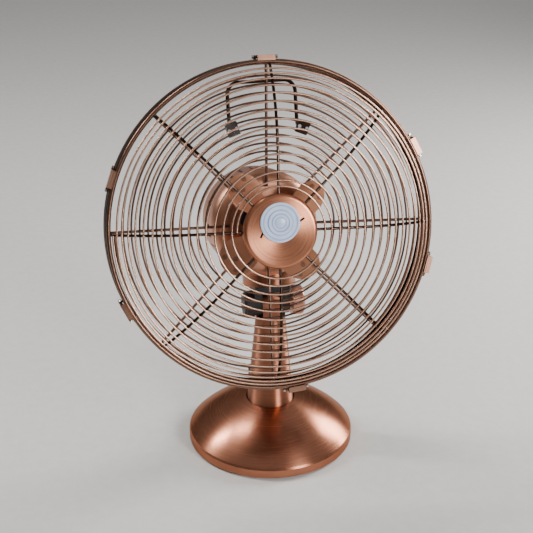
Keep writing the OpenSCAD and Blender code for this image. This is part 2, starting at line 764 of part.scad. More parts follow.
// rotor
module arm_outline() union() {
    translate([arm_tip - arm_w/2, 0]) circle(r = arm_w/2);
    polygon([[15.5, -8], [15.5, 8],
             [arm_tip - 0.56*arm_w, 0.497*arm_w], [arm_tip - 0.56*arm_w, -0.497*arm_w]]);
}

module blade_outline() union() {
    translate([blade_mid, 0]) circle(r = blade_w/2);
    polygon([[blade_root, -15], [blade_root, 15],
             [blade_mid - 17, 0.455*blade_w], [blade_mid - 17, -0.455*blade_w]]);
}

module each_blade() for (i = [0:blade_count - 1]) rotate([0, 0, blade_rest + 360/blade_count*i])
    translate([0, 0, rotor_mid]) rotate([blade_pitch, 0, 0]) children();

// the sheet between two distances behind its own mid surface
module curved_sheet(front, back) translate([blade_mid, 0, blade_camber]) rotate([0, 0, blade_skew])
    translate([-150, 0, 0]) along_x() difference() {
        cylinder(r = blade_camber + back, h = 300);
        translate([0, 0, -1]) cylinder(r = blade_camber + front, h = 302);
    }

// a frame on the sheet, z along its normal and forwards
module on_sheet(p) translate([blade_mid, 0, blade_camber]) rotate([0, 0, blade_skew])
    translate([sheet_x(p), 0, 0]) rotate([sheet_a(p), 0, 0]) translate([0, 0, -blade_camber]) children();

module rivet_holes() for (p = rivet_at) on_sheet(p) disc(rivet_r + fit, -8, 8);

module blade_spider() color("#a4643f") axis_frame() difference() {
    union() {
        disc(hub_r, hub_back, hub_front);
        each_blade() intersection() {
            linear_extrude(height = 80, center = true) arm_outline();
            curved_sheet(-arm_t/2, arm_t/2);
        }
    }
    each_blade() rivet_holes();
    disc(shaft_r + fit, hub_back - 1, hub_front + 1);
    rotate([0, 90, 0]) cylinder(r = 1.6, h = 26, center = true);
}

module fan_blades() color("#aab2ba") axis_frame() each_blade() difference() {
    intersection() {
        linear_extrude(height = 80, center = true) blade_outline();
        curved_sheet(arm_t/2 + seat, arm_t/2 + seat + blade_t);
    }
    rivet_holes();
}

module blade_rivets() color("#b98a6c") axis_frame() each_blade() for (p = rivet_at) on_sheet(p) {
    disc(rivet_r, -arm_t/2 - blade_t - 3*seat - 0.4, arm_t/2 + seat + 0.4);
    disc(2.6, arm_t/2 + seat, arm_t/2 + seat + 0.9);
    disc(2.6, -arm_t/2 - blade_t - 3*seat - 0.9, -arm_t/2 - blade_t - 3*seat);
}

module cross_pin() color("#9a9da1") axis_frame() rotate([0, 90, 0]) cylinder(r = 1.5, h = 24, center = true);

module spinner() color("#1c1c1e") axis_frame() difference() {
    rotate_extrude() intersection() {
        translate([0, hub_front - 6]) circle(r = 14);
        translate([0, hub_front + seat]) square([13, 12]);
    }
    disc(shaft_r + fit, hub_front - 1, hub_front + 5);
}

module motor_shaft() color("#b4b7bb") axis_frame() difference() {
    disc(shaft_r, gear_back + 16, hub_front + 4.6);
    rotate([0, 90, 0]) cylinder(r = 1.5 + fit, h = 26, center = true);
}

module rotor_core() color("#7d8186") axis_frame()
    ring(core_r, shaft_r + fit, stator_back, stator_front);

base_shell();
base_plate();
base_ballast();
base_pad();
base_screws();
column_tube();
tilt_lug();
tie_tube();
tie_nut();
speed_switch();
switch_spindle();
dial_disc();
speed_knob();
cord_gland();
neck_fork();
swing_bush();
swing_washer();
tilt_bolt();
tilt_cap();
tilt_knob();
swing_pin();
neck_cup();
gear_case();
front_bracket();
rear_bracket();
stator();
windings();
bearings();
motor_bolts();
motor_shell();
rear_cover();
cover_screw();
swing_knob();
knob_stem();
front_guard();
rear_guard();
guard_plate();
guard_nut();
rim_band();
clip_pins();
clip_1();
clip_2();
clip_3();
clip_4();
clip_5();
clip_6();
centre_plate();
badge();
plate_back();
plate_screw();
carry_handle();
handle_clamps();
handle_screws();
blade_spider();
fan_blades();
blade_rivets();
cross_pin();
spinner();
motor_shaft();
rotor_core();
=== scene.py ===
"""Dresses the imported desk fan: finishes, small welded and printed details, light and camera."""
import logging
import math
from dataclasses import dataclass, field
from enum import Enum
from typing import Iterator, Optional

import bmesh
import bpy
from mathutils import Matrix, Vector


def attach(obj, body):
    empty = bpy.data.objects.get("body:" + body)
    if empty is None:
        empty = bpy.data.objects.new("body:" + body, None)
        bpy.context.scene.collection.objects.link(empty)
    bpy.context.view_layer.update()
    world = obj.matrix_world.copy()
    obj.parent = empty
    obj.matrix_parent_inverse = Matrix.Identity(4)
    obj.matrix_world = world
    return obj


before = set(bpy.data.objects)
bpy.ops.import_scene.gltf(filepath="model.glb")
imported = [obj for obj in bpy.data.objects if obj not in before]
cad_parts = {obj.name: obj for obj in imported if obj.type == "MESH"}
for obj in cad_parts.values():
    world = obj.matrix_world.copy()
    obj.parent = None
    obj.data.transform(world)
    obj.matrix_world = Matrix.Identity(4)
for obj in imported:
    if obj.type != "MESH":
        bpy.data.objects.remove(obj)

LOG = logging.getLogger("desk_fan")
MM = 0.001
# an angle below this counts as nothing
TINY = 1e-6
# a turn of the highlight that sets it square to the grooves
QUARTER_TURN = 0.25
# places of the colour sockets of a Mix node, whose names stand for several sockets each
MIX_FROM, MIX_TO, MIX_RESULT = 6, 7, 2
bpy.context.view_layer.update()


class Side(Enum):
    """Which of the two guards is meant."""

    FRONT = "front"
    REAR = "rear"


def linear(code: str) -> tuple[float, float, float, float]:
    """Turns an sRGB hex colour into linear values.

    Args:
        code: Colour such as "#b87a5c".

    Returns:
        Red, green, blue and an alpha of one.
    """
    parts = [int(code[i:i + 2], 16)/255.0 for i in (1, 3, 5)]
    r, g, b = (c/12.92 if c <= 0.04045 else ((c + 0.055)/1.055)**2.4 for c in parts)
    return r, g, b, 1.0


def scale_of(size_mm: float) -> float:
    """Gives the pattern scale for a detail of a size in mm."""
    return 1.0/(size_mm*MM)


def add(tree: bpy.types.NodeTree, kind: str, inputs: Optional[dict] = None,
        **settings: object) -> bpy.types.Node:
    """Adds a node with its settings, and links or values for its sockets.

    Args:
        tree: Tree that gets the node.
        kind: Blender's name of the node type.
        inputs: Socket name or index to a socket to link from, or to a value.
        **settings: Properties of the node.

    Returns:
        The new node.
    """
    node = tree.nodes.new(kind)
    for key, value in settings.items():
        setattr(node, key, value)
    for key, value in (inputs or {}).items():
        if isinstance(value, bpy.types.NodeSocket):
            tree.links.new(value, node.inputs[key])
        else:
            node.inputs[key].default_value = value
    return node


@dataclass(frozen=True)
class Axis:
    """A line that a turned or brushed face goes round, in metres."""

    point: tuple[float, float, float] = (0.0, 0.0, 0.0)
    along: tuple[float, float, float] = (0.0, 0.0, 1.0)


@dataclass(frozen=True)
class Polar:
    """Sockets that tell where a point lies round an axis."""

    height: bpy.types.NodeSocket
    side: bpy.types.NodeSocket
    radius: bpy.types.NodeSocket

    @classmethod
    def about(cls, tree: bpy.types.NodeTree, axis: Axis) -> "Polar":
        """Adds the nodes that split a point's place into height, way out from the axis and radius.

        Args:
            tree: Tree that gets the nodes.
            axis: The axis.

        Returns:
            The sockets.
        """
        place = add(tree, "ShaderNodeTexCoord").outputs["Object"]
        off = add(tree, "ShaderNodeVectorMath", {0: place, 1: axis.point}, operation="SUBTRACT").outputs[0]
        height = add(tree, "ShaderNodeVectorMath", {0: off, 1: axis.along},
                     operation="DOT_PRODUCT").outputs["Value"]
        stalk = add(tree, "ShaderNodeVectorMath", {0: axis.along, "Scale": height},
                    operation="SCALE").outputs[0]
        side = add(tree, "ShaderNodeVectorMath", {0: off, 1: stalk}, operation="SUBTRACT").outputs[0]
        radius = add(tree, "ShaderNodeVectorMath", {0: side}, operation="LENGTH").outputs["Value"]
        return cls(height, side, radius)


@dataclass(frozen=True)
class GuardFace:
    """The line of the front spiral from the plate to the rim: flat, then an arc; lengths in mm."""

    guard_r: float = 170.0
    rise: float = 36.5
    flat_share: float = 0.47
    edge_in: float = 5.0
    edge_rise: float = 6.5

    @property
    def flat_r(self) -> float:
        """Gives the radius where the flat middle ends."""
        return self.flat_share*self.guard_r

    @property
    def arc_r(self) -> float:
        """Gives the radius of the arc that falls off to the rim."""
        drop = self.rise - self.edge_rise
        reach = self.guard_r - self.edge_in - self.flat_r
        return (reach**2 + drop**2)/(2*drop)

    def height(self, r: float) -> float:
        """Gives how far the spiral stands ahead of the band at a radius."""
        past = max(0.0, r - self.flat_r)
        return self.rise - self.arc_r + math.sqrt(self.arc_r**2 - past**2)


@dataclass(frozen=True)
class Finish:
    """A material: its real name, its colours and gloss, and the size of its grain and clouds."""

    name: str
    light: str
    dark: str
    metallic: float = 0.0
    roughness: float = 0.4
    ior: float = 1.5
    grain_mm: float = 0.625
    cloud_mm: float = 12.5
    tone_range: tuple[float, float] = (0.3, 0.7)
    rough_range: tuple[float, float] = (0.85, 1.15)
    depth: float = 0.1
    groove_mm: float = 0.04

    def start(self) -> tuple[bpy.types.Material, bpy.types.NodeTree, bpy.types.Node]:
        """Makes the empty material.

        Returns:
            The material, its tree and its principled shader.
        """
        material = bpy.data.materials.new(self.name)
        material.use_nodes = True
        tree = material.node_tree
        shader = tree.nodes["Principled BSDF"]
        shader.inputs["Metallic"].default_value = self.metallic
        shader.inputs["Roughness"].default_value = self.roughness
        if not self.metallic:
            shader.inputs["IOR"].default_value = self.ior
        return material, tree, shader

    def tone(self, tree: bpy.types.NodeTree, pattern: bpy.types.NodeSocket) -> bpy.types.NodeSocket:
        """Lets a pattern run from the dark to the light colour.

        Args:
            tree: Tree that gets the nodes.
            pattern: Socket of the pattern.

        Returns:
            Socket of the colour.
        """
        low, high = self.tone_range
        share = add(tree, "ShaderNodeMapRange", {"Value": pattern, "From Min": low, "From Max": high})
        mix = add(tree, "ShaderNodeMix", {"Factor": share.outputs[0], MIX_FROM: linear(self.dark),
                                          MIX_TO: linear(self.light)}, data_type="RGBA")
        return mix.outputs[MIX_RESULT]

    def relief(self, tree: bpy.types.NodeTree, shader: bpy.types.Node, pattern: bpy.types.NodeSocket) -> None:
        """Lets a pattern vary the gloss and raise the skin a little.

        Args:
            tree: Tree that gets the nodes.
            shader: Principled shader of the material.
            pattern: Socket of the pattern.
        """
        low, high = (min(1.0, self.roughness*part) for part in self.rough_range)
        rough = add(tree, "ShaderNodeMapRange", {"Value": pattern, "To Min": low, "To Max": high})
        tree.links.new(rough.outputs[0], shader.inputs["Roughness"])
        bump = add(tree, "ShaderNodeBump",
                   {"Strength": self.depth, "Distance": self.groove_mm*MM, "Height": pattern})
        tree.links.new(bump.outputs[0], shader.inputs["Normal"])

    def make(self) -> bpy.types.Material:
        """Builds a fine-grained surface with a slight change of tone.

        Returns:
            The material.
        """
        material, tree, shader = self.start()
        place = add(tree, "ShaderNodeTexCoord").outputs["Object"]
        grain = add(tree, "ShaderNodeTexNoise",
                    {"Vector": place, "Scale": scale_of(self.grain_mm), "Detail": 3.0})
        cloud = add(tree, "ShaderNodeTexNoise",
                    {"Vector": place, "Scale": scale_of(self.cloud_mm), "Detail": 4.0})
        tree.links.new(self.tone(tree, cloud.outputs[0]), shader.inputs["Base Color"])
        self.relief(tree, shader, grain.outputs[0])
        return material


@dataclass(frozen=True)
class BrushedMetal(Finish):
    """Sheet or wire brushed round an axis, plated and lacquered; lengths in mm."""

    cloud_mm: float = 25.0
    tone_range: tuple[float, float] = (0.25, 0.75)
    rough_range: tuple[float, float] = (0.8, 1.25)
    depth: float = 0.05
    groove_mm: float = 0.1
    axis: Axis = Axis()
    anisotropy: float = 0.6
    pitch_mm: float = 0.22
    broken_mm: float = 40.0
    patina: str = "#3a2018"
    patina_share: float = 0.25
    patina_range: tuple[float, float] = (0.35, 0.8)
    edge: str = "#ffffff"

    def make(self) -> bpy.types.Material:
        """Builds the brushed surface: fine lines, soft tarnish and a stretched highlight.

        Returns:
            The material.
        """
        material, tree, shader = self.start()
        place = add(tree, "ShaderNodeTexCoord").outputs["Object"]
        spot = Polar.about(tree, self.axis)
        # lines of one radius and height, drawn as coarse as they need to show, and broken along their length
        rings = add(tree, "ShaderNodeCombineXYZ", {"X": spot.radius, "Y": spot.height}).outputs[0]
        rings = add(tree, "ShaderNodeVectorMath", {0: rings, "Scale": scale_of(self.pitch_mm)},
                    operation="SCALE").outputs[0]
        drift = add(tree, "ShaderNodeVectorMath", {0: spot.side, "Scale": scale_of(self.broken_mm)},
                    operation="SCALE").outputs[0]
        mark = add(tree, "ShaderNodeVectorMath", {0: rings, 1: drift}, operation="ADD").outputs[0]
        hair = add(tree, "ShaderNodeTexNoise",
                   {"Vector": mark, "Scale": 1.0, "Detail": 3.0, "Roughness": 0.6}).outputs[0]
        cloud = add(tree, "ShaderNodeTexNoise",
                    {"Vector": place, "Scale": scale_of(self.cloud_mm), "Detail": 5.0})
        low, high = self.patina_range
        stain = add(tree, "ShaderNodeMapRange", {"Value": cloud.outputs[0], "From Min": low, "From Max": high,
                                                "To Max": self.patina_share})
        mix = add(tree, "ShaderNodeMix", {"Factor": stain.outputs[0], MIX_FROM: self.tone(tree, hair),
                                          MIX_TO: linear(self.patina)}, data_type="RGBA")
        tree.links.new(mix.outputs[MIX_RESULT], shader.inputs["Base Color"])
        self.relief(tree, shader, hair)
        # an oxide skin keeps the edges of a dark metal from going white at grazing angles
        shader.inputs["Specular Tint"].default_value = linear(self.edge)
        # the tangent follows the grooves, and the turn stretches the highlight across them
        around = add(tree, "ShaderNodeVectorMath", {0: self.axis.along, 1: spot.side},
                     operation="CROSS_PRODUCT").outputs[0]
        tree.links.new(around, shader.inputs["Tangent"])
        shader.inputs["Anisotropic"].default_value = self.anisotropy
        shader.inputs["Anisotropic Rotation"].default_value = QUARTER_TURN
        return material


@dataclass(frozen=True)
class GuardWire(BrushedMetal):
    """Drawn wire of the front guard, with painted shade on the ribs behind its spiral and on the wire round
    its rim.
    """

    face: GuardFace = GuardFace()
    # painted shade: the ribs behind the spiral are darkened to this colour, fading in between these depths
    # below the face
    rib: str = "#3d2b23"
    rib_from: float = 1.1
    rib_full: float = 1.3
    # painted shade on the outer ring, past ring_r: its colour and how much of it
    ring: str = "#5a3f33"
    ring_share: float = 0.8
    ring_r: float = 164.5

    def make(self) -> bpy.types.Material:
        """Builds the wire, tells ribs from spiral by their depth below the guard's face, and paints shade on
        the ribs and on the wire round the rim.

        Returns:
            The material.
        """
        material = super().make()
        tree = material.node_tree
        shader = tree.nodes["Principled BSDF"]
        spot = Polar.about(tree, self.axis)
        # height of the guard's face at this radius: flat, then an arc
        past = add(tree, "ShaderNodeMath", {0: spot.radius, 1: self.face.flat_r*MM},
                   operation="SUBTRACT").outputs[0]
        past = add(tree, "ShaderNodeMath", {0: past, 1: 0.0}, operation="MAXIMUM").outputs[0]
        past = add(tree, "ShaderNodeMath", {0: past, 1: 2.0}, operation="POWER").outputs[0]
        leg = add(tree, "ShaderNodeMath", {0: (self.face.arc_r*MM)**2, 1: past},
                  operation="SUBTRACT").outputs[0]
        leg = add(tree, "ShaderNodeMath", {0: leg}, operation="SQRT").outputs[0]
        top = add(tree, "ShaderNodeMath", {0: leg, 1: (self.face.rise - self.face.arc_r)*MM}).outputs[0]
        below = add(tree, "ShaderNodeMath", {0: top, 1: spot.height}, operation="SUBTRACT").outputs[0]
        behind = add(tree, "ShaderNodeMapRange", {"Value": below, "From Min": self.rib_from*MM,
                                                 "From Max": self.rib_full*MM}).outputs[0]
        inside = add(tree, "ShaderNodeMath", {0: spot.radius, 1: self.ring_r*MM},
                     operation="LESS_THAN").outputs[0]
        share = add(tree, "ShaderNodeMath", {0: behind, 1: inside}, operation="MULTIPLY").outputs[0]
        worn = shader.inputs["Base Color"].links[0].from_socket
        # painted shade: darkens the ribs below the spiral, inside the outer ring
        tone = add(tree, "ShaderNodeMix", {"Factor": share, MIX_FROM: worn, MIX_TO: linear(self.rib)},
                   data_type="RGBA").outputs[MIX_RESULT]
        # painted shade: the outer ring is darkened to the band's tone, a painted dark reflection of the
        # surroundings
        outer = add(tree, "ShaderNodeMapRange",
                    {"Value": inside, "To Min": self.ring_share, "To Max": 0.0}).outputs[0]
        tone = add(tree, "ShaderNodeMix", {"Factor": outer, MIX_FROM: tone, MIX_TO: linear(self.ring)},
                   data_type="RGBA").outputs[MIX_RESULT]
        tree.links.new(tone, shader.inputs["Base Color"])
        return material


@dataclass(frozen=True)
class RingedPlastic(Finish):
    """Moulded plastic with painted shade in its turned grooves; lengths in mm."""

    axis: Axis = Axis()
    grooves: tuple[float, ...] = ()
    width: float = 1.1
    # painted shade in the grooves: its colour and its strongest share
    dust: str = "#7f93bb"
    dust_share: float = 0.75

    def make(self) -> bpy.types.Material:
        """Builds the plastic and paints shade into the grooves.

        Returns:
            The material.
        """
        material = super().make()
        tree = material.node_tree
        shader = tree.nodes["Principled BSDF"]
        spot = Polar.about(tree, self.axis)
        # painted shade: each groove is darkened towards its middle
        for groove in self.grooves:
            away = add(tree, "ShaderNodeMath", {0: spot.radius, 1: groove*MM},
                       operation="SUBTRACT").outputs[0]
            away = add(tree, "ShaderNodeMath", {0: away}, operation="ABSOLUTE").outputs[0]
            near = add(tree, "ShaderNodeMapRange", {"Value": away, "From Max": self.width*MM,
                                                   "To Min": self.dust_share, "To Max": 0.0}).outputs[0]
            unshaded = shader.inputs["Base Color"].links[0].from_socket
            tone = add(tree, "ShaderNodeMix", {"Factor": near, MIX_FROM: unshaded, MIX_TO: linear(self.dust)},
                       data_type="RGBA")
            tree.links.new(tone.outputs[MIX_RESULT], shader.inputs["Base Color"])
        return material


@dataclass(frozen=True)
class ClearPlastic(Finish):
    """Clear moulded plastic with a faint smoke tint."""

    cloud_mm: float = 16.667
    cover: float = 0.04
    glare: float = 0.12

    def make(self) -> bpy.types.Material:
        """Builds the clear shell with faint flow lines.

        Returns:
            The material.
        """
        material, tree, shader = self.start()
        place = add(tree, "ShaderNodeTexCoord").outputs["Object"]
        flow = add(tree, "ShaderNodeTexNoise",
                   {"Vector": place, "Scale": scale_of(self.cloud_mm), "Detail": 2.0})
        tree.links.new(self.tone(tree, flow.outputs[0]), shader.inputs["Base Color"])
        shader.inputs["Alpha"].default_value = self.cover
        shader.inputs["Specular IOR Level"].default_value = self.glare
        return material


# the head's frame: the tilt pivot stands over the column, and the head leans back about it
TILT = math.radians(17.0)
PIVOT = Vector((0.0, 0.0, 176.0))*MM
RIGHT = Vector((1.0, 0.0, 0.0))
UP = Vector((0.0, math.sin(TILT), math.cos(TILT)))
FORWARD = Vector((0.0, -math.cos(TILT), math.sin(TILT)))
# the middle of the band, from the pivot, and the middle of the badge, from there; in mm
HEAD_SHIFT, HEAD_HIGH, HEAD_AHEAD = -16.0, 99.5, 119.0
BADGE_SHIFT, BADGE_HIGH = -0.5, 9.2
HEAD = PIVOT + (HEAD_SHIFT*RIGHT + HEAD_HIGH*UP + HEAD_AHEAD*FORWARD)*MM
HEAD_MATRIX = Matrix((RIGHT, UP, FORWARD)).transposed().to_4x4()
HEAD_MATRIX.translation = HEAD

STAND_AXIS = Axis()
MOTOR_AXIS = Axis(tuple(HEAD), tuple(FORWARD))
SWING_AXIS = Axis(tuple(PIVOT), tuple(UP))
TILT_AXIS = Axis(tuple(PIVOT), tuple(RIGHT))
BADGE_AXIS = Axis(tuple(HEAD + (BADGE_SHIFT*RIGHT + BADGE_HIGH*UP)*MM), tuple(FORWARD))


class Finishes:
    """The fan's finishes, each made once."""

    # copper sheet, spun and lacquered: warm brown, with streaks of light that fan out from the column
    BASE = BrushedMetal("copper_sheet_spun", "#c28164", "#9c634c", 1.0, 0.25,
                        axis=STAND_AXIS, anisotropy=0.6, edge="#e2cbbf")
    # the same on a tube, brushed with a coarser grit: bright lines down its length
    COLUMN = BrushedMetal("copper_tube_brushed", "#c88a6c", "#9a6049", 1.0, 0.40,
                          axis=STAND_AXIS, anisotropy=1.0)
    # spun housing, satin: paler, with a wide soft shine on its shoulder
    HOUSING = BrushedMetal("copper_housing_spun", "#dea082", "#ba8066", 1.0, 0.38,
                           axis=MOTOR_AXIS, anisotropy=0.4)
    # plate turned on a lathe: a bow tie of light that pivots round the middle
    PLATE = BrushedMetal("copper_plate_turned", "#cf8d6c", "#a8694e", 1.0, 0.28,
                         axis=MOTOR_AXIS, anisotropy=0.75)
    # turned cup: deep copper with a band of light
    CUP = BrushedMetal("copper_cup_turned", "#bf8163", "#8c563f", 1.0, 0.28, axis=SWING_AXIS)
    # turned knob, worn by hands: pale and soft
    KNOB = BrushedMetal("copper_knob_turned", "#dda083", "#b87c60", 1.0, 0.34,
                        axis=TILT_AXIS, anisotropy=0.3)
    # stamped arms, satin: light orange and even, with no bright streak
    ARMS = BrushedMetal("copper_arms_satin", "#e8a987", "#cb8c6c", 1.0, 0.36,
                        axis=MOTOR_AXIS, anisotropy=0.3)
    # pressed latches and rivets, copper plated: greyer, with worn spots
    CLIP = BrushedMetal("copper_clip_plated", "#b98d77", "#8a6450", 1.0, 0.28, axis=MOTOR_AXIS,
                        anisotropy=0.2, patina_share=0.4, pitch_mm=0.5)
    # drawn wire, copper plated: a pale thread of light along each winding, with painted shade on the ribs and
    # the outer ring
    SPIRAL = GuardWire("copper_wire_drawn", "#dcb6a0", "#b58b73", 1.0, 0.25, axis=MOTOR_AXIS,
                       anisotropy=0.2, patina_share=0.3, pitch_mm=0.5)
    # rolled copper band: dark brown, a painted dark reflection of the surroundings, with darker clouds here
    # and there
    BAND = BrushedMetal("copper_band_painted_shade", "#7d5a49", "#5f4135", 1.0, 0.26, axis=MOTOR_AXIS,
                        anisotropy=0.4, patina="#2a1b15", patina_share=0.3, depth=0.02, edge="#4a352b")
    # copper wire, painted dark: painted shade that sets the rear spiral back in the shadow behind the front
    # one
    DARK_WIRE = BrushedMetal("copper_wire_painted_shade", "#8a6757", "#4c362c", 1.0, 0.32, axis=MOTOR_AXIS,
                             anisotropy=0.2, patina="#140d0a", patina_share=0.5, pitch_mm=0.5)
    # welds on the ribs: dull dark brown, the same painted shade as the ribs they sit on
    RIB = BrushedMetal("copper_weld_painted_shade", "#4a352b", "#2c1f19", 1.0, 0.34, axis=MOTOR_AXIS,
                       anisotropy=0.1, patina="#140d0a", patina_share=0.5, pitch_mm=0.5)
    # bent rod: nearly black, with a faint brown shine
    ROD = BrushedMetal("antique_copper_rod", "#3a2921", "#1f1612", 1.0, 0.42, axis=MOTOR_AXIS,
                       anisotropy=0.1, patina="#0c0807", patina_share=0.6)
    # moulded ABS, spark-grained: deep black with a satin sheen
    BLACK = Finish("abs_black_satin", "#0c0c0d", "#070708", 0.0, 0.5, 1.5)
    # moulded ABS, glossier: pale blue-grey, with painted shade in its grooves that draws its rings
    BADGE = RingedPlastic("abs_pale_grey_blue", "#d2e3ff", "#c0d4f6", 0.0, 0.30, 1.53,
                          axis=BADGE_AXIS, grooves=(17.1, 12.6, 8.7, 5.5))
    # moulded SAN, polished: nearly unseen, with a faint smoke tint at most
    CLEAR = ClearPlastic("san_clear_smoke", "#9b9ea2", "#8d9094", 0.0, 0.06, 1.57)
    # natural nylon: milky and dull
    NYLON = Finish("nylon_natural", "#dcd8cc", "#cfcabb", 0.0, 0.45, 1.53)
    # moulded rubber: matt black with hardly any shine
    RUBBER = Finish("rubber_black_matt", "#1a1a1a", "#101010", 0.0, 0.75, 1.52)
    # cast iron, raw: dark grey and dull
    IRON = Finish("cast_iron_raw", "#4a4b4d", "#2c2d2f", 1.0, 0.62)
    # zinc-plated steel: light grey with a soft shine
    STEEL = Finish("steel_zinc_plated", "#b9bcc0", "#a2a6ab", 1.0, 0.30)
    # nickel-plated pins, polished: small bright glints
    BRIGHT = Finish("steel_nickel_polished", "#e4e0da", "#cfcac2", 1.0, 0.14)
    # electrical steel, varnished: mid grey and dull
    SHEETS = Finish("electrical_steel_varnished", "#6d7074", "#54575b", 1.0, 0.45)
    # zinc alloy, die cast: light grey, faintly clouded
    ALLOY = Finish("zinc_alloy_die_cast", "#a7abb0", "#8d9196", 1.0, 0.42)
    # aluminium sheet, satin: pale under the print
    DIAL = Finish("aluminium_dial_satin", "#c4c7ca", "#b2b6ba", 1.0, 0.34)
    # sintered bronze: dull yellow
    BRONZE = Finish("bronze_sintered", "#b58a48", "#8f6a33", 1.0, 0.42)
    # enamelled winding wire: red-brown
    COIL = Finish("copper_wire_enamelled", "#b05f34", "#7d3c1e", 1.0, 0.35)
    # printing ink: flat dark grey
    PAINT = Finish("ink_dark_printed", "#202124", "#161719", 0.0, 0.5, 1.5)
    # matt floor: plain and pale
    FLOOR = Finish("floor_pale_matt", "#d9d6d1", "#d3d0ca", 0.0, 0.7, 1.45)

    _made: dict[str, bpy.types.Material] = {}

    @classmethod
    def get(cls, finish: Finish) -> bpy.types.Material:
        """Gives the material of a finish, made on first use.

        Args:
            finish: The finish.

        Returns:
            The material.
        """
        if finish.name not in cls._made:
            cls._made[finish.name] = finish.make()
        return cls._made[finish.name]


@dataclass
class Assembly:
    """A group of CAD nodes with their finishes, and the pieces added to them."""

    finishes: dict[str, Finish] = field(default_factory=dict)

    def dress(self) -> None:
        """Gives each node of the group its finish."""
        for node, finish in self.finishes.items():
            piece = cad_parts[node]
            material = Finishes.get(finish)
            for spot in piece.material_slots:
                spot.material = material
            LOG.info("dressed %s in %s", node, material.name)

    def build(self) -> None:
        """Adds the pieces of the group that the CAD leaves to the scene: none, unless a group has its own."""

    def keep(self, name: str, mesh: bmesh.types.BMesh, finish: Finish, body: str, slot: str,
             smooth: bool = True) -> bpy.types.Object:
        """Turns a finished bmesh into a piece that rides on a body.

        Args:
            name: Name of the piece.
            mesh: The mesh, in its place; it is freed.
            finish: Finish of the piece.
            body: CAD body that carries it.
            slot: Material slot of the record; not used.
            smooth: Whether its faces are shaded smooth.

        Returns:
            The new object.
        """
        bmesh.ops.recalc_face_normals(mesh, faces=mesh.faces)
        for face in mesh.faces:
            face.smooth = smooth
        data = bpy.data.meshes.new(name)
        mesh.to_mesh(data)
        mesh.free()
        data.materials.append(Finishes.get(finish))
        piece = bpy.data.objects.new(name, data)
        bpy.context.scene.collection.objects.link(piece)
        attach(piece, body)
        LOG.info("added %s on %s", name, body)
        return piece


@dataclass
class Stand(Assembly):
    """Base, column and speed switch; lengths in mm, angles in degrees."""

    finishes: dict[str, Finish] = field(default_factory=lambda: {
        "base_shell": Finishes.BASE, "column_tube": Finishes.COLUMN, "tilt_lug": Finishes.COLUMN,
        "base_plate": Finishes.STEEL, "base_screws": Finishes.STEEL, "tie_tube": Finishes.STEEL,
        "tie_nut": Finishes.STEEL, "base_ballast": Finishes.IRON, "base_pad": Finishes.RUBBER,
        "cord_gland": Finishes.RUBBER, "speed_switch": Finishes.BLACK, "dial_disc": Finishes.DIAL,
        "speed_knob": Finishes.BLACK, "switch_spindle": Finishes.STEEL})
    base_r: float = 96.0
    base_edge: float = 13.0
    dome_top: float = 53.0
    foot_r: float = 26.8
    knob_at: float = 64.0
    seat_face: float = 0.8
    dial_thick: float = 1.0
    speeds: int = 4
    speed_step: float = 40.0
    first_speed: float = 17.0
    numeral_r: float = 15.6
    numeral_high: float = 3.4
    ink: float = 0.03

    def knob_matrix(self) -> Matrix:
        """Gives the frame of the speed knob, square to the dome, in metres."""
        drop = (self.foot_r**2 + self.dome_top**2 - self.base_r**2 - self.base_edge**2)
        centre = drop/(2*(self.dome_top - self.base_edge))
        dome_r = math.hypot(self.base_r, self.base_edge - centre)
        high = centre + math.sqrt(dome_r**2 - self.knob_at**2)
        lean = math.asin(self.knob_at/dome_r)
        return Matrix.Translation(Vector((0.0, self.knob_at, high))*MM) @ Matrix.Rotation(-lean, 4, "X")

    def build(self) -> None:
        """Prints the plain speed numbers on the dial, each beside its dot."""
        mesh = bmesh.new()
        spot = Vector((self.numeral_r, 0.0, self.seat_face + self.dial_thick + self.ink))*MM
        upright = Matrix.Translation(spot) @ Matrix.Rotation(-math.pi/2, 4, "Z")
        for speed in range(self.speeds):
            curve = bpy.data.curves.new("numeral", "FONT")
            curve.body, curve.size = str(speed), self.numeral_high*MM
            curve.align_x, curve.align_y = "CENTER", "CENTER"
            curve.extrude = self.ink*MM
            text = bpy.data.objects.new("numeral", curve)
            bpy.context.scene.collection.objects.link(text)
            bpy.context.view_layer.update()
            flat = bpy.data.meshes.new_from_object(text.evaluated_get(bpy.context.evaluated_depsgraph_get()))
            angle = math.radians(self.speed_step*speed + self.first_speed)
            flat.transform(self.knob_matrix() @ Matrix.Rotation(angle, 4, "Z") @ upright)
            mesh.from_mesh(flat)
            bpy.data.objects.remove(text)
            bpy.data.curves.remove(curve)
            bpy.data.meshes.remove(flat)
        self.keep("dial_numerals", mesh, Finishes.PAINT, "stand", "black_plastic", smooth=False)


@dataclass
class Neck(Assembly):
    """Fork, tilt bolt and knob, and the cup over the swing joint."""

    finishes: dict[str, Finish] = field(default_factory=lambda: {
        "neck_fork": Finishes.BLACK, "swing_bush": Finishes.BRONZE, "swing_washer": Finishes.NYLON,
        "tilt_bolt": Finishes.STEEL, "tilt_cap": Finishes.BLACK, "tilt_knob": Finishes.KNOB,
        "swing_pin": Finishes.STEEL, "neck_cup": Finishes.CUP})


@dataclass
class Motor(Assembly):
    """Motor, gear case and housing."""

    finishes: dict[str, Finish] = field(default_factory=lambda: {
        "gear_case": Finishes.ALLOY, "front_bracket": Finishes.ALLOY, "rear_bracket": Finishes.ALLOY,
        "stator": Finishes.SHEETS, "windings": Finishes.COIL, "bearings": Finishes.BRONZE,
        "motor_bolts": Finishes.STEEL, "motor_shell": Finishes.HOUSING, "rear_cover": Finishes.HOUSING,
        "cover_screw": Finishes.STEEL, "swing_knob": Finishes.BLACK, "knob_stem": Finishes.STEEL})


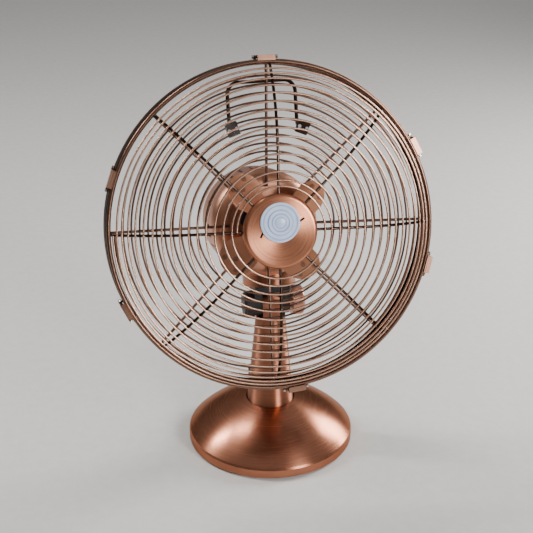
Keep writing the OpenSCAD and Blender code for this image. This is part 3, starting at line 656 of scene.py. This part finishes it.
@dataclass
class Guards(Assembly):
    """The two spiral guards and the welds between their wires and ribs; lengths in mm."""

    finishes: dict[str, Finish] = field(default_factory=lambda: {
        "front_guard": Finishes.SPIRAL, "rear_guard": Finishes.DARK_WIRE, "guard_plate": Finishes.HOUSING,
        "guard_nut": Finishes.BLACK, "rim_band": Finishes.BAND, "clip_pins": Finishes.BRIGHT,
        "centre_plate": Finishes.PLATE, "badge": Finishes.BADGE, "plate_back": Finishes.STEEL,
        "plate_screw": Finishes.STEEL, "carry_handle": Finishes.ROD, "handle_clamps": Finishes.ROD,
        "handle_screws": Finishes.STEEL, **{f"clip_{i}": Finishes.CLIP for i in range(1, 7)}})
    face: GuardFace = GuardFace()
    wire_r: float = 1.05
    rib_gap: float = 0.2
    ribs: int = 8
    rib_turn: float = -2.2
    front_turns: int = 16
    plate_r: float = 37.7
    plate_gap: float = 5.8
    first_pitch: float = 5.1
    last_in: float = 6.85
    even_part: float = 0.64
    even_rate: float = 1.126
    rear_turns: int = 11
    rear_in: float = 66.0
    rear_last_in: float = 10.0
    rear_hub_w: float = -22.0
    rear_rim_w: float = -13.0
    nugget: tuple[float, float, float] = (1.25, 0.95, 0.6)

    def front_r(self, turn: float) -> float:
        """Gives the radius of the front spiral after some turns: even at first, closer near the rim."""
        first = self.plate_r + self.plate_gap + self.first_pitch
        if turn < 1.0:
            return first - self.first_pitch*(1.0 - turn)
        s = (turn - 1.0)/(self.front_turns - 1)
        close = (self.even_rate - 1.0)*max(0.0, (s - self.even_part)/(1.0 - self.even_part))**2
        return first + (self.face.guard_r - self.last_in - first)*(self.even_rate*s - close)

    def rear_w(self, r: float) -> float:
        """Gives how far the rear spiral stands ahead of the band at a radius."""
        slope = (self.rear_rim_w - self.rear_hub_w)/(self.face.guard_r - self.rear_last_in - self.rear_in)
        return self.rear_hub_w + slope*(r - self.rear_in)

    def rear_r(self, turn: float) -> float:
        """Gives the radius of the rear spiral after some turns."""
        return self.rear_in + (self.face.guard_r - self.rear_last_in - self.rear_in)*turn/self.rear_turns

    def crossings(self, side: Side) -> Iterator[tuple[Vector, float]]:
        """Finds where the wire passes over the ribs.

        Args:
            side: The guard that is meant.

        Returns:
            Points on the wire's middle line in the head's frame, in mm, with the angle of the rib.
        """
        front = side is Side.FRONT
        radius, rise = (self.front_r, self.face.height) if front else (self.rear_r, self.rear_w)
        turns = self.front_turns if front else self.rear_turns
        # each half turn is a half circle whose middle steps sideways, above or below the motor's axis in turn
        for k in range(2*turns):
            a, b = radius(k/2), radius((k + 1)/2)
            left, right = (a, b) if k % 2 == 0 else (b, a)
            lower = k % 2 == 1
            middle, arm = (right - left)/2, (right + left)/2
            for i in range(self.ribs):
                angle = 2*math.pi*i/self.ribs
                if (math.pi <= angle - TINY) != lower or (lower and angle < TINY):
                    continue
                r = middle*math.cos(angle) + math.sqrt(arm**2 - (middle*math.sin(angle))**2)
                x = r*math.cos(angle)
                w = (rise(left) + rise(right))/2 + (rise(right) - rise(left))/(left + right)*(x - middle)
                turned = angle + math.radians(self.rib_turn)
                yield Vector((r*math.cos(turned), r*math.sin(turned), w)), turned

    def welds(self, side: Side, finish: Finish, slot: str) -> None:
        """Sets a small weld nugget at each crossing of wire and rib.

        Args:
            side: The guard that is meant.
            finish: Finish of the nuggets.
            slot: Material slot of the record.
        """
        mesh = bmesh.new()
        size = Matrix.Diagonal((*(half*MM for half in self.nugget), 1.0))
        for point, angle in self.crossings(side):
            low = point - Vector((0.0, 0.0, self.wire_r + self.rib_gap/2))
            spot = HEAD_MATRIX @ Matrix.Translation(low*MM) @ Matrix.Rotation(angle, 4, "Z") @ size
            bmesh.ops.create_icosphere(mesh, subdivisions=1, radius=1.0, matrix=spot)
        self.keep(f"{side.value}_welds", mesh, finish, "head", slot)

    def build(self) -> None:
        """Adds the welds of both guards."""
        self.welds(Side.FRONT, Finishes.RIB, "copper_wire")
        self.welds(Side.REAR, Finishes.DARK_WIRE, "dark_copper")


@dataclass
class Rotor(Assembly):
    """Shaft, arms and clear blades."""

    finishes: dict[str, Finish] = field(default_factory=lambda: {
        "blade_spider": Finishes.ARMS, "fan_blades": Finishes.CLEAR, "blade_rivets": Finishes.CLIP,
        "cross_pin": Finishes.STEEL, "spinner": Finishes.BLACK, "motor_shaft": Finishes.STEEL,
        "rotor_core": Finishes.SHEETS})


@dataclass(frozen=True)
class Lamp:
    """A soft rectangular light that looks at the fan; lengths in metres, power in watts."""

    name: str
    at: tuple[float, float, float]
    size: tuple[float, float]
    power: float
    aim: tuple[float, float, float] = (0.0, 0.0, 0.2)

    def hang(self) -> None:
        """Adds the light to the scene, turned to its aim."""
        light = bpy.data.lights.new(self.name, "AREA")
        light.shape, light.energy = "RECTANGLE", self.power
        light.size, light.size_y = self.size
        lamp = bpy.data.objects.new(self.name, light)
        lamp.location = self.at
        lamp.rotation_euler = (Vector(self.aim) - Vector(self.at)).to_track_quat("-Z", "Y").to_euler()
        bpy.context.scene.collection.objects.link(lamp)
        LOG.info("hung %s", self.name)


@dataclass
class Studio:
    """Pale floor, soft light and the camera at the photograph's angle; lengths in metres."""

    floor_size: float = 8.0
    sky_low: str = "#707173"
    sky_high: str = "#cdced1"
    sky_high_from: float = 0.9
    sky_power: float = 0.65
    lamps: tuple[Lamp, ...] = (
        Lamp("left_window", (-1.22, 0.52, 1.24), (0.12, 0.5), 12.0),
        Lamp("right_window", (1.35, 0.45, 0.75), (0.5, 0.8), 26.0),
        Lamp("front_fill", (0.95, -1.8, 0.95), (0.6, 0.6), 36.0, (0.0, -0.1, 0.3)),
        Lamp("overhead", (-0.72, 0.4, 1.62), (0.16, 0.5), 8.0),
    )
    camera_at: tuple[float, float, float] = (-0.2555, -1.1818, 0.7995)
    camera_pitch: float = 64.4
    camera_pan: float = -11.99
    lens_mm: float = 81.05
    sensor_mm: float = 36.0

    def floor(self) -> None:
        """Lays a plain pale floor."""
        mesh = bmesh.new()
        bmesh.ops.create_grid(mesh, x_segments=1, y_segments=1, size=self.floor_size/2)
        data = bpy.data.meshes.new("floor")
        mesh.to_mesh(data)
        mesh.free()
        data.materials.append(Finishes.get(Finishes.FLOOR))
        floor = bpy.data.objects.new("floor", data)
        bpy.context.scene.collection.objects.link(floor)

    def sky(self) -> None:
        """Sets a soft grey surround, brighter overhead."""
        world = bpy.data.worlds.new("studio")
        world.use_nodes = True
        tree = world.node_tree
        way = add(tree, "ShaderNodeTexCoord").outputs["Generated"]
        up = add(tree, "ShaderNodeSeparateXYZ", {0: way}).outputs["Z"]
        share = add(tree, "ShaderNodeMapRange", {"Value": up, "From Max": self.sky_high_from}).outputs[0]
        tone = add(tree, "ShaderNodeMix", {"Factor": share, MIX_FROM: linear(self.sky_low),
                                           MIX_TO: linear(self.sky_high)}, data_type="RGBA")
        background = tree.nodes["Background"]
        tree.links.new(tone.outputs[MIX_RESULT], background.inputs["Color"])
        background.inputs["Strength"].default_value = self.sky_power
        bpy.context.scene.world = world

    def camera(self) -> None:
        """Sets the camera where the photograph was taken from."""
        data = bpy.data.cameras.new("photo_camera")
        data.lens, data.sensor_width = self.lens_mm, self.sensor_mm
        camera = bpy.data.objects.new("photo_camera", data)
        camera.location = self.camera_at
        camera.rotation_euler = (math.radians(self.camera_pitch), 0.0, math.radians(self.camera_pan))
        bpy.context.scene.collection.objects.link(camera)
        bpy.context.scene.camera = camera

    def build(self) -> None:
        """Sets up floor, surround, lights and camera."""
        self.floor()
        self.sky()
        for lamp in self.lamps:
            lamp.hang()
        self.camera()


def main() -> None:
    """Dresses the fan, adds the scene's own pieces and sets the studio."""
    logging.basicConfig(level=logging.INFO, format="%(name)s: %(message)s")
    for group in (Stand(), Neck(), Motor(), Guards(), Rotor()):
        group.build()
        group.dress()
    Studio().build()


if __name__ == "__main__":
    main()
